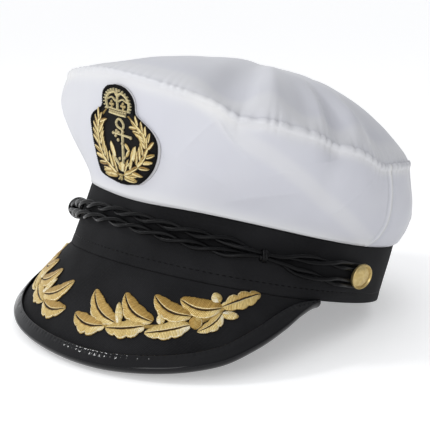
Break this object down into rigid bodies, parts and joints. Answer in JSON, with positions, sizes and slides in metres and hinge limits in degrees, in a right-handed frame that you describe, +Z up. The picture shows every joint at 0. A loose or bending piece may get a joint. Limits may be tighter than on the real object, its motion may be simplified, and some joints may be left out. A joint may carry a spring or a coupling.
{
  "type": "captain's peaked cap",
  "caption": "Captain's peaked cap: soft white satin crown on a black band, drooping bound peak with leaf sprays, badge, twisted chin cord and buttons.",
  "frame": {"origin": "the floor under the middle of the cap's bounding box, as the cap lies by itself on a flat surface", "axes": "+Z up from the surface; -Y the way the peak points; +X the wearer's left"},
  "size_m": [0.2202, 0.2534, 0.1564],
  "materials": {
    "crown_satin": "bluish white satin, slightly sheer, soft sheen",
    "black_twill": "matt black twill",
    "glossy_binding": "glossy black vinyl binding, stitched along its inner edge",
    "gold_thread": "gold embroidery thread in a darker and a paler tone, satin stitched",
    "badge_felt": "black embroidered ground of the badge",
    "black_cord": "black satin cord, twisted",
    "button_metal": "pale gold button, softly polished"
  },
  "bodies": {
    "root": {"crown_front": "crown_satin", "crown_back": "crown_satin", "crown_top": "crown_satin", "band": "black_twill", "peak": "black_twill", "peak_trim": "glossy_binding", "leaf_spray_left": "gold_thread", "leaf_spray_right": "gold_thread", "badge_patch": "badge_felt", "badge_crown": "gold_thread", "badge_wreath": "gold_thread", "badge_anchor": "gold_thread", "cord_strand_1": "black_cord", "cord_strand_2": "black_cord", "cord_strand_3": "black_cord", "cord_strand_4": "black_cord", "cord_knot_left": "black_cord", "cord_knot_right": "black_cord", "button_left": "button_metal", "button_right": "button_metal"}
  },
  "joints": []
}
